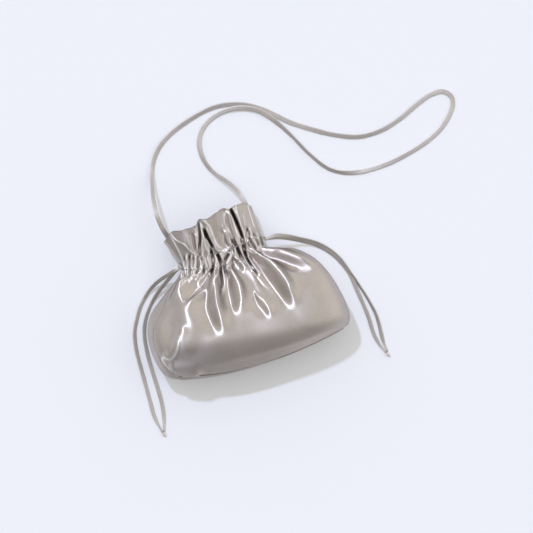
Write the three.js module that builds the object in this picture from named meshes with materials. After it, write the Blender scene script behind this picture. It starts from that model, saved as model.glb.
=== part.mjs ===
// Drawstring crossbody bag: a stuffed satin pouch lying on its back.
// Millimetres, +Z up from the floor, +Y from the base towards the mouth, +X to the right seen from above.
import * as THREE from 'three';

// Driving dimensions of the pouch
const bodyWidth = 249.4;
const bodyLength = 130.5;
const bodyDepth = 76;
const neckWidth = 110;
const neckDepth = 37;
const neckRest = 2.5;
const floorPress = 8;
const casingHeight = 18;
const collarHeight = 46;
const baseBulge = 1.5;
const baseSeamY = -98.5;
const bodyWall = 1.2;
const collarWall = 2;
const bandWall = 1;
const seamGap = 0.3;
const gatherDepth = 4;
const gatherCount = 11;
const drawHoleHeight = 7.2;

// Driving dimensions of the strap and the drawstrings
const strapWidth = 6;
const strapThickness = 1.7;
const cordWidth = 5;
const cordThickness = 1.7;
const knotLength = 7;
const knotRadius = 2.6;

// Body sections from the base seam to the lower row of casing stitches. middle, leftEnd and rightEnd
// are shares of bodyLength. left and right are shares of the swell from neckWidth to bodyWidth, rise of
// the swell from the neck's height to bodyDepth, and lie of the drop from neckRest to floorPress under
// the floor. belly is the widest line's height as a share of bodyDepth. seam is the left side seam's
// lift round the section, in degrees. lean is how far the top of the left end leans towards the mouth, and
// skew how far the whole top is turned that way, more at the left and backwards at the right.
const bodySections = [
  {
    middle: 0.000, leftEnd: 0.124, rightEnd: 0.050, left: 0.70, right: 0.80, rise: 0.20,
    lie: -0.50, belly: 0.42, square: 3, seam: 23, lean: 0.083, skew: 0,
  },
  {
    middle: 0.058, leftEnd: 0.163, rightEnd: 0.077, left: 0.84, right: 0.92, rise: 0.48,
    lie: 0.15, belly: 0.44, square: 3, seam: 22, lean: 0.073, skew: 0.02,
  },
  {
    middle: 0.129, leftEnd: 0.236, rightEnd: 0.149, left: 0.945, right: 0.985, rise: 0.77,
    lie: 0.70, belly: 0.45, square: 3, seam: 23, lean: 0.044, skew: 0.06,
  },
  {
    middle: 0.280, leftEnd: 0.355, rightEnd: 0.253, left: 0.992, right: 1.0, rise: 1.0,
    lie: 1.0, belly: 0.45, square: 3, seam: 23, lean: 0.015, skew: 0.1,
  },
  {
    middle: 0.430, leftEnd: 0.502, rightEnd: 0.395, left: 1.0, right: 0.98, rise: 0.91,
    lie: 1.0, belly: 0.43, square: 3, seam: 23, lean: 0, skew: 0.06,
  },
  {
    middle: 0.602, leftEnd: 0.678, rightEnd: 0.586, left: 0.935, right: 0.905, rise: 0.68,
    lie: 1.0, belly: 0.4, square: 2.8, seam: 27, lean: 0, skew: 0,
  },
  {
    middle: 0.778, leftEnd: 0.816, rightEnd: 0.778, left: 0.76, right: 0.745, rise: 0.38,
    lie: 0.80, belly: 0.36, square: 2.4, seam: 34, lean: 0, skew: 0,
  },
  {
    middle: 0.893, leftEnd: 0.923, rightEnd: 0.927, left: 0.475, right: 0.475, rise: 0.16,
    lie: 0.45, belly: 0.32, square: 2.4, seam: 25, lean: 0, skew: 0,
  },
  {
    middle: 0.956, leftEnd: 1.016, rightEnd: 0.985, left: 0.19, right: 0.215, rise: 0.05,
    lie: 0.15, belly: 0.29, square: 2.4, seam: 11, lean: 0, skew: 0,
  },
  {
    middle: 1.000, leftEnd: 1.102, rightEnd: 1.044, left: 0, right: 0, rise: 0,
    lie: 0, belly: 0.275, square: 2.4, seam: 3, lean: 0, skew: 0,
  },
];

// Neck sections from the upper row of casing stitches to the frill's rim. up is a share of collarHeight
// at the middle, leftEnd and rightEnd the same at the ends. left and right are shares of half of neckWidth,
// top and bottom shares of neckDepth above neckRest.
const collarSections = [
  {
    up: 0.000, leftEnd: 0.190, rightEnd: 0.080,
    left: 1.02, right: 0.99, top: 1.00, bottom: 0.00, square: 2.4, seam: 3,
  },
  {
    up: 0.480, leftEnd: 0.500, rightEnd: 0.490,
    left: 1.09, right: 1.00, top: 1.12, bottom: -0.02, square: 2.5, seam: 4,
  },
  {
    up: 0.990, leftEnd: 0.780, rightEnd: 0.910,
    left: 1.156, right: 1.00, top: 1.22, bottom: -0.05, square: 2.6, seam: 4,
  },
];

// The lean grows with this power of the distance from the middle.
const leanPower = 4;

// Long folds that fan out from the gathered neck over the front. Each is a wall that faces left, from a
// valley on its left up to a crest on its right. x and endX are shares of half of neckWidth, y and endY
// shares of bodyLength from the base seam, bend is the sideways bow as a share of the length, width is half
// of the distance from valley to crest as a share of neckWidth, and depth is a share of gatherDepth. ridge
// lifts the cloth along the line itself, a share of gatherDepth too: the left shoulder of the pouch.
const frontFolds = [
  { x: -0.95, y: 1.03, endX: -1.76, endY: 0.33, bend: 0.05, width: 0.136, depth: 0.0, ridge: 1.0 },
  { x: -0.95, y: 1.02, endX: -1.65, endY: 0.81, bend: 0.04, width: 0.045, depth: 0.7, ridge: 0.0 },
  { x: -1.09, y: 0.97, endX: -1.84, endY: 0.41, bend: 0.04, width: 0.075, depth: 0.8, ridge: 0.0 },
  { x: -0.44, y: 0.98, endX: -1.15, endY: 0.75, bend: 0.02, width: 0.050, depth: 0.9, ridge: 0.0 },
  { x: -0.27, y: 1.03, endX: -0.69, endY: 0.37, bend: -0.07, width: 0.076, depth: 1.2, ridge: 0.0 },
  { x: 0.04, y: 1.00, endX: -0.16, endY: 0.48, bend: 0.00, width: 0.085, depth: 1.3, ridge: 0.0 },
  { x: 0.24, y: 1.03, endX: 0.35, endY: 0.89, bend: 0.00, width: 0.036, depth: 0.8, ridge: 0.0 },
  { x: 0.36, y: 0.67, endX: 0.51, endY: 0.36, bend: 0.00, width: 0.045, depth: 0.5, ridge: 0.0 },
  { x: 0.60, y: 1.06, endX: 1.13, endY: 0.41, bend: 0.02, width: 0.080, depth: 1.4, ridge: 0.0 },
  { x: 0.78, y: 1.03, endX: 1.91, endY: 0.69, bend: -0.03, width: 0.049, depth: 1.1, ridge: 0.0 },
];

// Ruffles of the frill: deep valleys from the casing at x to the rim at rimX, shares of half of neckWidth,
// half as wide as width, a share of neckWidth, and as deep as depth, a share of neckDepth.
const frontRuffles = [
  { x: -0.76, rimX: -0.86, width: 0.050, depth: 0.10 },
  { x: -0.48, rimX: -0.50, width: 0.045, depth: 0.16 },
  { x: -0.12, rimX: -0.22, width: 0.040, depth: 0.24 },
  { x: 0.18, rimX: 0.20, width: 0.045, depth: 0.14 },
  { x: 0.50, rimX: 0.50, width: 0.040, depth: 0.26 },
  { x: 0.82, rimX: 0.86, width: 0.040, depth: 0.12 },
];
const backRuffles = [
  { x: -0.66, rimX: -0.70, width: 0.050, depth: 0.16 },
  { x: -0.30, rimX: -0.34, width: 0.050, depth: 0.20 },
  { x: 0.06, rimX: 0.04, width: 0.050, depth: 0.18 },
  { x: 0.40, rimX: 0.44, width: 0.050, depth: 0.20 },
  { x: 0.74, rimX: 0.80, width: 0.045, depth: 0.14 },
];

// How far the frill's rim stands above or below its even curve: x is a share of half of neckWidth, rise a
// share of collarHeight.
const frillRim = [
  { x: -1.16, rise: 0 },
  { x: -0.92, rise: 0.110 },
  { x: -0.62, rise: -0.020 },
  { x: -0.38, rise: -0.080 },
  { x: -0.22, rise: 0.045 },
  { x: -0.03, rise: -0.030 },
  { x: 0.20, rise: 0.030 },
  { x: 0.36, rise: 0.085 },
  { x: 0.53, rise: 0.015 },
  { x: 0.66, rise: 0.070 },
  { x: 0.85, rise: 0.090 },
  { x: 1.00, rise: -0.010 },
];

// The fan's folds fade in and out over these shares of their length, and start at this share of their width.
const foldFadeIn = 0.18;
const foldFadeOut = [0.4, 1.1];
const foldNeckWidth = 0.45;
const foldFullWidth = 0.5;

// Gathers start in the body, are deepest between the rows of stitches and keep this share at the rim.
const gatherFrom = 6.4;
const gatherFull = 8.6;
const gatherAtRim = 0.15;

// Folds, gathers and ruffles die out over this share of a panel beside its side seams.
const calmShare = 0.06;

// Side seams: the right one sits lower than the left by this share of the lift in the table. Above the
// casing the seams open by frillSlit. The back's rim rises by backRimShare of the front's.
const rightSeamShare = 0.3;
const frillSlit = 1;
const backRimShare = 0.4;

// The base panel keeps baseGap from the other two, and its lowest point is baseCentre of bodyWidth from
// the middle.
const baseGap = 3 * seamGap;
const baseCentre = 0.02;

// The channel that the drawstrings run in: the band lies inside the deepest gathers, where the section
// across is at least bandFit of its size at the middle, and is drawn in further by channelDepth.
const bandFit = 0.88;
const bandSeat = (gatherDepth + bodyWall + seamGap) / bandFit;
const channelDepth = cordThickness + 6 * seamGap;

// Each drawstring has its lane in the channel, a share of casingHeight above the lower stitches. The run
// turns in from its hole over runTurn radians, and its ends stand runOut out of the hole.
const lowerLane = 0.28;
const upperLane = 0.72;
const runTurn = 0.30;
const runOut = 1.5;

// A hole's edge is this share of the casing's height away from the stitches.
const holeEdge = 0.08;

// Columns and stations of the meshes. The casing has a row just inside each row of stitches.
const frontColumns = 54;
const backColumns = 36;
const baseColumns = 36;
const bandColumns = 40;
const runPoints = 30;
const knotSides = 10;
const neckSamples = 400;
const slopeStep = 0.004;
const panelStations = [
  0, 0.5, 1, 2, 3, 4, 5, 5.7, 6.4, 7.1, 7.8, 8.4, 9, 9 + holeEdge, 9.5, 10 - holeEdge, 10, 10.5, 11, 11.5, 12,
];
const baseRings = [0, 0.12, 0.35, 0.68];
const bandStations = [
  { station: 9, drawnIn: 0 },
  { station: 9.04, drawnIn: 1 },
  { station: 9.96, drawnIn: 1 },
  { station: 10, drawnIn: 0 },
];

// Routes of the free tapes, in millimetres, chosen by hand: the strap from the left end inside the frill
// round its long loop to the right end, and each strand from its hole to its knot.
const strapRoute = [
  [-47, 64, 27.2], [-52, 77, 28], [-56.5, 90, 28.8], [-59.5, 104, 33], [-60, 120, 36], [-58.5, 134, 31],
  [-56, 147, 22], [-53, 158, 12.5], [-49, 170, 5], [-44, 181, 1.8], [-38, 190, 1], [-31, 197.5, 1],
  [-20, 205.5, 1], [-6, 212, 1], [12, 217.5, 1], [34, 222, 1], [52, 223.5, 1], [70, 221, 1], [90, 213.5, 1],
  [112, 198, 1], [136, 173.5, 1], [157, 157, 1], [184, 139, 1], [212, 126.5, 1], [240, 124.5, 1],
  [267, 130, 1], [297, 141, 1], [316, 145.5, 1], [330, 144, 1], [338, 134, 1], [335.5, 123.5, 1],
  [320, 107, 1], [301, 96, 1], [264, 86, 1], [223, 82.5, 1], [185, 88, 1], [163, 101, 1], [146, 127, 1],
  [131, 160, 1], [117, 185, 2.2], [103, 201.5, 3.2], [84, 211.5, 3.2], [62, 214.5, 2], [42, 210, 1],
  [28, 200.5, 1], [20, 187, 1], [18, 171, 1], [21, 155, 1.6], [28.5, 141, 5], [37, 129.5, 12],
  [43.5, 118, 19], [47.5, 106, 25], [49, 93, 26.9], [48, 80, 25.8], [45.5, 67, 23.6],
];
const strandRoutes = {
  left_drawstring_outer: [
    [-56.4, 49.3, 23.6], [-63, 48.2, 23.2], [-70, 46.2, 20.6], [-80, 44, 15.2], [-90, 41, 9.6],
    [-101, 35.5, 4.4], [-112, 27, 1.5], [-121, 18, 1], [-130, 5, 1], [-136.5, -6, 1], [-140.5, -18, 1],
    [-143.5, -34, 1], [-145, -50, 1], [-146.5, -70, 1], [-148.5, -95, 1], [-150, -115, 1],
    [-149.2, -134.2, 1.6],
  ],
  left_drawstring_inner: [
    [-56.9, 49.3, 21.3], [-63, 46.6, 20.6], [-70, 42.4, 17.4], [-80, 36.8, 11.8], [-91, 30, 6.4],
    [-102, 21.5, 2.4], [-112, 11.5, 1], [-121, -1, 1], [-127.5, -17, 1], [-131, -36, 1], [-133, -58, 1],
    [-134, -82, 1], [-135.5, -102, 1], [-139, -120, 1], [-142.7, -134.2, 1.6],
  ],
  right_drawstring_outer: [
    [56.4, 46.6, 22.6], [67, 45.2, 23.2], [77, 42.8, 21.6], [89, 37.4, 17.4], [101.5, 30.2, 11.6],
    [113, 22.2, 6], [122.6, 12.6, 2.6], [130.6, 0.8, 1.1], [137.6, -13.6, 1], [143.8, -30, 1],
    [149, -47, 1], [152.5, -64, 1], [155, -84, 1], [155.5, -102, 1], [155.2, -119, 1], [155.2, -132.4, 1.6],
  ],
  right_drawstring_inner: [
    [56.8, 46.6, 20.3], [66.5, 43.8, 20.2], [75, 39.8, 18.2], [86, 34.2, 14.4], [97.5, 26.8, 9.6],
    [109, 18, 4.6], [118.4, 8.2, 1.6], [126, -3.6, 1], [132.8, -17.6, 1], [138.6, -33, 1], [142.5, -51, 1],
    [144.8, -74, 1], [145.8, -94, 1], [146.5, -114, 1], [149, -132.4, 1.6],
  ],
};
const leftKnot = [-146, -137.9, 2.6];
const leftKnotHeading = 6;
const rightKnot = [152.2, -136.1, 2.6];
const rightKnotHeading = 20;

// Stations along the bag: the body sections count 0 to lowerStitch, the collar sections go on to rim.
const lowerStitch = bodySections.length - 1;
const upperStitch = lowerStitch + 1;
const rim = upperStitch + collarSections.length - 1;

const mix = (a, b, share) => a + (b - a) * share;
const smooth = (low, high, value) => THREE.MathUtils.smoothstep(value, low, high);

// Turns the two tables into one list of real sizes.
function realSections() {
  const neckHalf = neckWidth / 2;
  const bodyHalf = bodyWidth / 2;
  const neckTop = neckRest + neckDepth;
  const body = bodySections.map((row) => ({
    middle: baseSeamY + row.middle * bodyLength,
    leftEnd: baseSeamY + row.leftEnd * bodyLength,
    rightEnd: baseSeamY + row.rightEnd * bodyLength,
    left: mix(neckHalf, bodyHalf, row.left),
    right: mix(neckHalf, bodyHalf, row.right),
    top: mix(neckTop, bodyDepth, row.rise),
    bottom: mix(neckRest, -floorPress, row.lie),
    widest: row.belly * bodyDepth,
    square: row.square,
    seam: row.seam,
    lean: row.lean * bodyLength,
    skew: row.skew * bodyLength,
    wall: bodyWall,
  }));
  const neckBase = baseSeamY + bodyLength + casingHeight;
  const collar = collarSections.map((row, index) => ({
    middle: neckBase + row.up * collarHeight,
    leftEnd: neckBase + row.leftEnd * collarHeight,
    rightEnd: neckBase + row.rightEnd * collarHeight,
    left: neckHalf * row.left,
    right: neckHalf * row.right,
    top: neckRest + neckDepth * row.top,
    bottom: neckRest + neckDepth * row.bottom,
    widest: neckRest + neckDepth * 0.5 * (row.top + row.bottom),
    square: row.square,
    seam: row.seam,
    lean: 0,
    skew: 0,
    wall: index === 0 ? bodyWall : collarWall,
  }));
  return [...body, ...collar];
}
const sections = realSections();

// One value of the sections at any station, on a smooth curve through the rows.
function sectionValue(name, station) {
  const first = THREE.MathUtils.clamp(Math.floor(station), 0, rim - 1);
  const t = station - first;
  const at = (index) => sections[THREE.MathUtils.clamp(index, 0, rim)][name];
  const [a, b, c, d] = [at(first - 1), at(first), at(first + 1), at(first + 2)];
  return b + 0.5 * t * (c - a + t * (2 * a - 5 * b + 4 * c - d + t * (3 * (b - c) + d - a)));
}

// A point of the smooth pouch, with no folds: angle 0 is the right side, 90 the top, 180 the left side.
// inset draws the section in from all sides.
function smoothPoint(angle, station, inset = 0) {
  const get = (name) => sectionValue(name, station);
  const c = Math.cos(angle);
  const s = Math.sin(angle);
  const power = 2 / get('square');
  const across = Math.sign(c) * Math.abs(c) ** power;
  const up = Math.sign(s) * Math.abs(s) ** power;
  const widest = get('widest');
  const x = across * ((c < 0 ? get('left') : get('right')) - inset);
  const z = widest + up * ((up > 0 ? get('top') - widest : widest - get('bottom')) - inset);
  const tilt = (get('rightEnd') - get('leftEnd')) / 2;
  const bow = (get('rightEnd') + get('leftEnd')) / 2 - get('middle');
  const lean = across < 0 ? get('lean') * across ** leanPower : 0;
  const over = Math.max(up, 0) * (lean - get('skew') * across);
  return new THREE.Vector3(x, get('middle') + tilt * across + bow * across * across + over, z);
}

function outwardNormal(angle, station, inset = 0) {
  const before = smoothPoint(angle - slopeStep, station, inset);
  const round = smoothPoint(angle + slopeStep, station, inset).sub(before);
  const ahead = smoothPoint(angle, Math.min(station + slopeStep, rim), inset);
  const along = ahead.sub(smoothPoint(angle, Math.max(station - slopeStep, 0), inset));
  return along.cross(round).normalize();
}

// How far the fan of long folds lifts or sinks the cloth at a place seen from above.
function fanOfFolds(folds, x, y) {
  let lift = 0;
  for (const fold of folds) {
    const startX = fold.x * neckWidth / 2;
    const startY = baseSeamY + fold.y * bodyLength;
    const runX = fold.endX * neckWidth / 2 - startX;
    const runY = baseSeamY + fold.endY * bodyLength - startY;
    const length = Math.hypot(runX, runY);
    const along = ((x - startX) * runX + (y - startY) * runY) / (length * length);
    const bow = fold.bend * length * 4 * along * (1 - along);
    const side = ((y - startY) * runX - (x - startX) * runY) / length - bow;
    const widening = mix(foldNeckWidth, 1, smooth(0, foldFullWidth, along));
    const wave = side / (fold.width * neckWidth * widening);
    const fade = smooth(0, foldFadeIn, along) * (1 - smooth(...foldFadeOut, along));
    const wall = fold.depth * wave * Math.exp(0.5 - 0.5 * wave * wave);
    lift += gatherDepth * fade * (wall + fold.ridge * Math.exp(-wave * wave));
  }
  return lift;
}

// Ruffles start at the upper stitches and grow to the rim, always inwards.
function ruffleDepth(ruffles, x, station) {
  const share = THREE.MathUtils.clamp((station - upperStitch) / (rim - upperStitch), 0, 1);
  let depth = 0;
  for (const ruffle of ruffles) {
    const centre = mix(ruffle.x, ruffle.rimX, share) * neckWidth / 2;
    const wave = (x - centre) / (ruffle.width * neckWidth);
    depth += ruffle.depth * neckDepth * smooth(0, 0.75, share) * Math.exp(-wave * wave);
  }
  return depth;
}

// The rim's own rise, fading out down the frill.
function rimRise(x, station) {
  const share = x / (neckWidth / 2);
  let i = 0;
  while (i < frillRim.length - 2 && frillRim[i + 1].x < share) {
    i += 1;
  }
  const [a, b] = [frillRim[i], frillRim[i + 1]];
  const rise = mix(a.rise, b.rise, smooth(a.x, b.x, share));
  return rise * collarHeight * smooth(rim - 1, rim, station);
}

// Small even gathers where the drawstrings pull the cloth together.
function gathers(round, station) {
  const reach = smooth(gatherFrom, gatherFull, station);
  const left = mix(1, gatherAtRim, smooth(upperStitch, rim, station));
  return gatherDepth * reach * left * (0.5 - 0.5 * Math.cos(2 * Math.PI * gatherCount * round));
}

// The hole that each pair of strands leaves by: the left one is in the lower half of the casing, the
// right one in the upper half.
function drawHole(side, station) {
  const up = station - lowerStitch;
  const share = side === 'left' ? up : 1 - up;
  return Math.max(0, Math.min(share / holeEdge, 1, (1 - holeEdge - share) / (0.5 - holeEdge)));
}

// Where a side seam runs round the section, and how far each panel stays back from it: a hair in the
// seams, a hole in the casing, a slit beside the frill.
function seamAt(side, station) {
  const lift = THREE.MathUtils.degToRad(sectionValue('seam', station));
  const angle = side === 'left' ? Math.PI - lift : -lift * rightSeamShare;
  const beside = smoothPoint(angle - slopeStep, station);
  const speed = smoothPoint(angle + slopeStep, station).distanceTo(beside) / (2 * slopeStep);
  const slit = frillSlit * smooth(upperStitch, upperStitch + 1, station);
  const gap = seamGap + slit + drawHoleHeight * drawHole(side, station);
  return { angle, back: gap / 2 / speed };
}

// Shares of the way round a panel at which its columns lie, spaced evenly round the neck.
function columnShares(from, to, count) {
  const station = lowerStitch + 0.5;
  const reach = [0];
  for (let i = 1; i <= neckSamples; i += 1) {
    const a = smoothPoint(mix(from, to, (i - 1) / neckSamples), station);
    reach.push(reach[i - 1] + a.distanceTo(smoothPoint(mix(from, to, i / neckSamples), station)));
  }
  const shares = [];
  for (let column = 0; column <= count; column += 1) {
    const target = reach[neckSamples] * column / count;
    const i = Math.max(1, reach.findIndex((value) => value >= target * (1 - Number.EPSILON)));
    shares.push((i - 1 + (target - reach[i - 1]) / (reach[i] - reach[i - 1])) / neckSamples);
  }
  return shares;
}

// A point of a panel's outer face, or of its inner face when wall is its thickness.
function panelPoint(panel, share, round, station, wall) {
  const left = seamAt('left', station);
  const right = seamAt('right', station);
  const over = panel === 'front';
  const from = over ? left.angle - left.back : left.angle + left.back;
  const to = over ? right.angle + right.back : right.angle - right.back + 2 * Math.PI;
  const angle = mix(from, to, share);
  const calm = smooth(0, calmShare, round) * smooth(0, calmShare, 1 - round);
  const place = smoothPoint(angle, station);
  const ruffles = ruffleDepth(over ? frontRuffles : backRuffles, place.x, station);
  const inset = calm * (gathers(round, station) + ruffles);
  const normal = outwardNormal(angle, station, inset);
  const fan = over ? calm * fanOfFolds(frontFolds, place.x, place.y) : 0;
  const point = smoothPoint(angle, station, inset).addScaledVector(normal, fan - wall);
  point.y += rimRise(place.x, station) * (over ? 1 : backRimShare);
  point.z = Math.max(point.z, wall);
  return point;
}

// Faces between an outer and an inner grid of points, both [row][column], closed at the edges. A row of
// one point is a pole, and it closes the grid at that end.
function wallGeometry(outer, inner, closedRound) {
  const grids = [outer, inner];
  const points = [];
  const starts = grids.map((grid) => grid.map((row) => points.push(...row) - row.length));
  const at = (layer, row, column) => starts[layer][row] + column % grids[layer][row].length;
  const index = [];
  const triangle = (a, b, c) => (a === b || b === c || a === c ? 0 : index.push(a, b, c));
  const quad = (a, b, c, d) => {
    triangle(a, b, c);
    triangle(a, c, d);
  };
  const rows = outer.length;
  const columns = outer[0].length;
  const spans = closedRound ? columns : columns - 1;
  for (let row = 0; row < rows - 1; row += 1) {
    for (let column = 0; column < spans; column += 1) {
      quad(at(0, row, column), at(0, row, column + 1), at(0, row + 1, column + 1), at(0, row + 1, column));
      quad(at(1, row, column), at(1, row + 1, column), at(1, row + 1, column + 1), at(1, row, column + 1));
    }
    if (!closedRound) {
      quad(at(0, row, 0), at(0, row + 1, 0), at(1, row + 1, 0), at(1, row, 0));
      quad(at(0, row + 1, spans), at(0, row, spans), at(1, row, spans), at(1, row + 1, spans));
    }
  }
  for (let column = 0; column < spans; column += 1) {
    quad(at(0, 0, column + 1), at(0, 0, column), at(1, 0, column), at(1, 0, column + 1));
    if (outer[rows - 1].length > 1) {
      const last = rows - 1;
      quad(at(0, last, column), at(0, last, column + 1), at(1, last, column + 1), at(1, last, column));
    }
  }
  const geometry = new THREE.BufferGeometry();
  geometry.setAttribute('position', new THREE.Float32BufferAttribute(points.flatMap((p) => p.toArray()), 3));
  geometry.setIndex(enclosedVolume(points, index) < 0 ? index.reverse() : index);
  geometry.computeVertexNormals();
  return geometry;
}

function enclosedVolume(points, index) {
  let sixfold = 0;
  for (let i = 0; i < index.length; i += 3) {
    sixfold += points[index[i]].dot(points[index[i + 1]].clone().cross(points[index[i + 2]]));
  }
  return sixfold / 6;
}

function panelGeometry(panel, columnCount) {
  const shares = columnShares(Math.PI, panel === 'front' ? 0 : 2 * Math.PI, columnCount);
  const face = (layer) => panelStations.map((station) => {
    const wall = layer * sectionValue('wall', station);
    return shares.map((share, column) => panelPoint(panel, share, column / columnCount, station, wall));
  });
  return wallGeometry(face(0), face(1), false);
}

// The base closes the body: a shallow dome from the base seam to its lowest point, just clear of the
// ends of the panels.
function baseGeometry() {
  const lowest = baseSeamY - baseBulge;
  const centre = new THREE.Vector3(bodyWidth * baseCentre, lowest, bodyDepth * bodySections[0].belly);
  const face = (wall) => baseRings.map((ring) => {
    const row = [];
    for (let i = 0; i < baseColumns; i += 1) {
      const angle = 2 * Math.PI * i / baseColumns;
      const edge = smoothPoint(angle, 0).addScaledVector(outwardNormal(angle, 0), -wall);
      const point = edge.clone().lerp(centre, ring);
      point.y = mix(edge.y, centre.y, 1 - (1 - ring) ** 2) - baseGap * (1 - ring) + (ring > 0 ? wall : 0);
      point.z = Math.max(point.z, wall);
      row.push(point);
    }
    return row;
  });
  const pole = (wall) => [centre.clone().add(new THREE.Vector3(0, wall, 0))];
  return wallGeometry([...face(0), pole(0)], [...face(bodyWall), pole(bodyWall)], true);
}

// The casing band lies close to the panels' deepest gathers at the two rows of stitches and is drawn in
// between them to leave the channel.
function bandGeometry() {
  const face = (wall) => bandStations.map(({ station, drawnIn }) => {
    const row = [];
    for (let i = 0; i < bandColumns; i += 1) {
      row.push(smoothPoint(2 * Math.PI * i / bandColumns, station, bandSeat + drawnIn * channelDepth + wall));
    }
    return row;
  });
  return wallGeometry(face(0), face(bandWall), true);
}

// A tape's route. Its flat side faces up, or away from widthAxis where one is given.
class TapeRoute extends THREE.CatmullRomCurve3 {
  constructor(points, widthAxis = null) {
    super(points, false, 'centripetal');
    this.widthAxis = widthAxis;
  }

  // One step of the tape for each point of its route.
  getPointAt(share, target) {
    return this.getPoint(share, target);
  }

  getTangentAt(share, target) {
    return this.getTangent(share, target);
  }

  computeFrenetFrames(segments) {
    const frames = { tangents: [], normals: [], binormals: [] };
    for (let i = 0; i <= segments; i += 1) {
      const tangent = this.getTangentAt(i / segments);
      const face = this.widthAxis ? tangent.clone().cross(this.widthAxis) : new THREE.Vector3(0, 0, 1);
      face.addScaledVector(tangent, -face.dot(tangent)).normalize();
      frames.tangents.push(tangent);
      frames.normals.push(face);
      frames.binormals.push(tangent.clone().cross(face));
    }
    return frames;
  }
}

// A flat tape of eight sides along a route, with its corners cut off.
function tapeGeometry(route, width, thickness) {
  const [w, t] = [width / 2, thickness / 2];
  const [flatW, flatT] = [w - t * 0.5, t * 0.45];
  const section = new THREE.Shape([
    [t, -flatW], [t, flatW], [flatT, w], [-flatT, w], [-t, flatW], [-t, -flatW], [-flatT, -w], [flatT, -w],
  ].map(([x, y]) => new THREE.Vector2(x, y)));
  const steps = route.points.length - 1;
  return new THREE.ExtrudeGeometry(section, { steps, extrudePath: route, curveSegments: 1 });
}

// The stretch of a drawstring in the channel: out of its hole, once round the neck and back to the hole.
function runRoute(side, lane) {
  const station = lowerStitch + lane;
  const inset = bandSeat + 1.5 * seamGap + cordThickness / 2;
  const turn = side === 'left' ? Math.PI : 0;
  const hole = smoothPoint(seamAt(side, station).angle, station);
  const outX = side === 'left' ? -1 : 1;
  const lift = cordThickness / 2 + seamGap;
  const points = [];
  for (let i = 0; i <= runPoints; i += 1) {
    const away = mix(runTurn, 2 * Math.PI - runTurn, i / runPoints);
    points.push(smoothPoint(turn + outX * away, station, inset));
  }
  const mouth = (up) => [runOut, -bodyWall].map((reach) => (
    new THREE.Vector3(hole.x + outX * reach, hole.y, hole.z + up * lift)));
  const route = [...mouth(1), ...points, ...mouth(-1).reverse()];
  return new TapeRoute(route, new THREE.Vector3(0, 1, 0));
}

const route = (rows) => new TapeRoute(rows.map(([x, y, z]) => new THREE.Vector3(x, y, z)));

// A knot is a small bound barrel with round ends, lying along the strands.
function knotMesh(name, place, heading) {
  const profile = [[0, -0.5], [0.72, -0.42], [1, -0.2], [1, 0.2], [0.72, 0.42], [0, 0.5]];
  const points = profile.map(([r, h]) => new THREE.Vector2(r * knotRadius, h * knotLength));
  const mesh = piece(name, new THREE.LatheGeometry(points, knotSides), tapeFinish);
  mesh.position.set(...place);
  mesh.rotation.z = THREE.MathUtils.degToRad(heading);
  return mesh;
}

const satin = { color: 0xaca097, roughness: 0.32, metalness: 0.55 };
const innerSatin = { color: 0x9a8f88, roughness: 0.4, metalness: 0.5 };
const tapeFinish = { color: 0x9f938b, roughness: 0.36, metalness: 0.5 };

function piece(name, geometry, finish) {
  const mesh = new THREE.Mesh(geometry, new THREE.MeshStandardMaterial(finish));
  mesh.name = name;
  return mesh;
}

const pouch = new THREE.Group();
pouch.add(piece('front_panel', panelGeometry('front', frontColumns), satin));
pouch.add(piece('back_panel', panelGeometry('back', backColumns), satin));
pouch.add(piece('base_panel', baseGeometry(), satin));
pouch.add(piece('casing_band', bandGeometry(), innerSatin));

const cords = new THREE.Group();
cords.add(piece('strap', tapeGeometry(route(strapRoute), strapWidth, strapThickness), tapeFinish));
const drawstrings = {
  left_drawstring_run: runRoute('left', lowerLane),
  right_drawstring_run: runRoute('right', upperLane),
};
for (const [name, rows] of Object.entries(strandRoutes)) {
  drawstrings[name] = route(rows);
}
for (const [name, line] of Object.entries(drawstrings)) {
  cords.add(piece(name, tapeGeometry(line, cordWidth, cordThickness), tapeFinish));
}
cords.add(knotMesh('left_knot', leftKnot, leftKnotHeading));
cords.add(knotMesh('right_knot', rightKnot, rightKnotHeading));

const bag = new THREE.Group();
bag.add(pouch, cords);
export default bag;
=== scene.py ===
import math

import bpy
import numpy as np
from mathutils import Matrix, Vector


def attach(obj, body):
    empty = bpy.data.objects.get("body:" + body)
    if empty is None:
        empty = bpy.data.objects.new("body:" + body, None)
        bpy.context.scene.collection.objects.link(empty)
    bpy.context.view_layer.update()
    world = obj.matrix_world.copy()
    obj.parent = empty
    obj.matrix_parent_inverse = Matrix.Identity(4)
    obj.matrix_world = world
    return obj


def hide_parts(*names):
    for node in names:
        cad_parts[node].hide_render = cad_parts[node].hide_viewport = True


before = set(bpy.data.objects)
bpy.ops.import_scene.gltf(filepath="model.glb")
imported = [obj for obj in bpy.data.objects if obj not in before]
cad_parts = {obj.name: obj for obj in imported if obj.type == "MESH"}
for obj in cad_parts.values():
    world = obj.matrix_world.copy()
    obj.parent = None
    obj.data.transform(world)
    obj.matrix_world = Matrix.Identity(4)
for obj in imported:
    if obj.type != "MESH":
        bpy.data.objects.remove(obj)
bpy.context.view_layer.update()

# The studio: the bag lies on a pale floor and is seen from straight above, turned a little to the right.
# One small high lamp beyond the mouth throws the short shadow. A dome of soft light fills the rest.
def placed(name, data):
    """A new object in the scene."""
    made = bpy.data.objects.new(name, data)
    bpy.context.collection.objects.link(made)
    return made


camera_height = 6.0
picture_width = 0.6662
picture_level = 0.03
sensor_width = 36.0
camera = placed("camera", bpy.data.cameras.new("camera"))
camera.data.sensor_width = sensor_width
camera.data.lens = sensor_width * (camera_height - picture_level) / picture_width
camera.data.clip_end = 60.0
camera.location = (0.0467, 0.0131, camera_height)
camera.rotation_euler = (0.0, 0.0, math.radians(-20.0))
bpy.context.scene.camera = camera
bpy.context.scene.view_settings.view_transform = "Standard"


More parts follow.
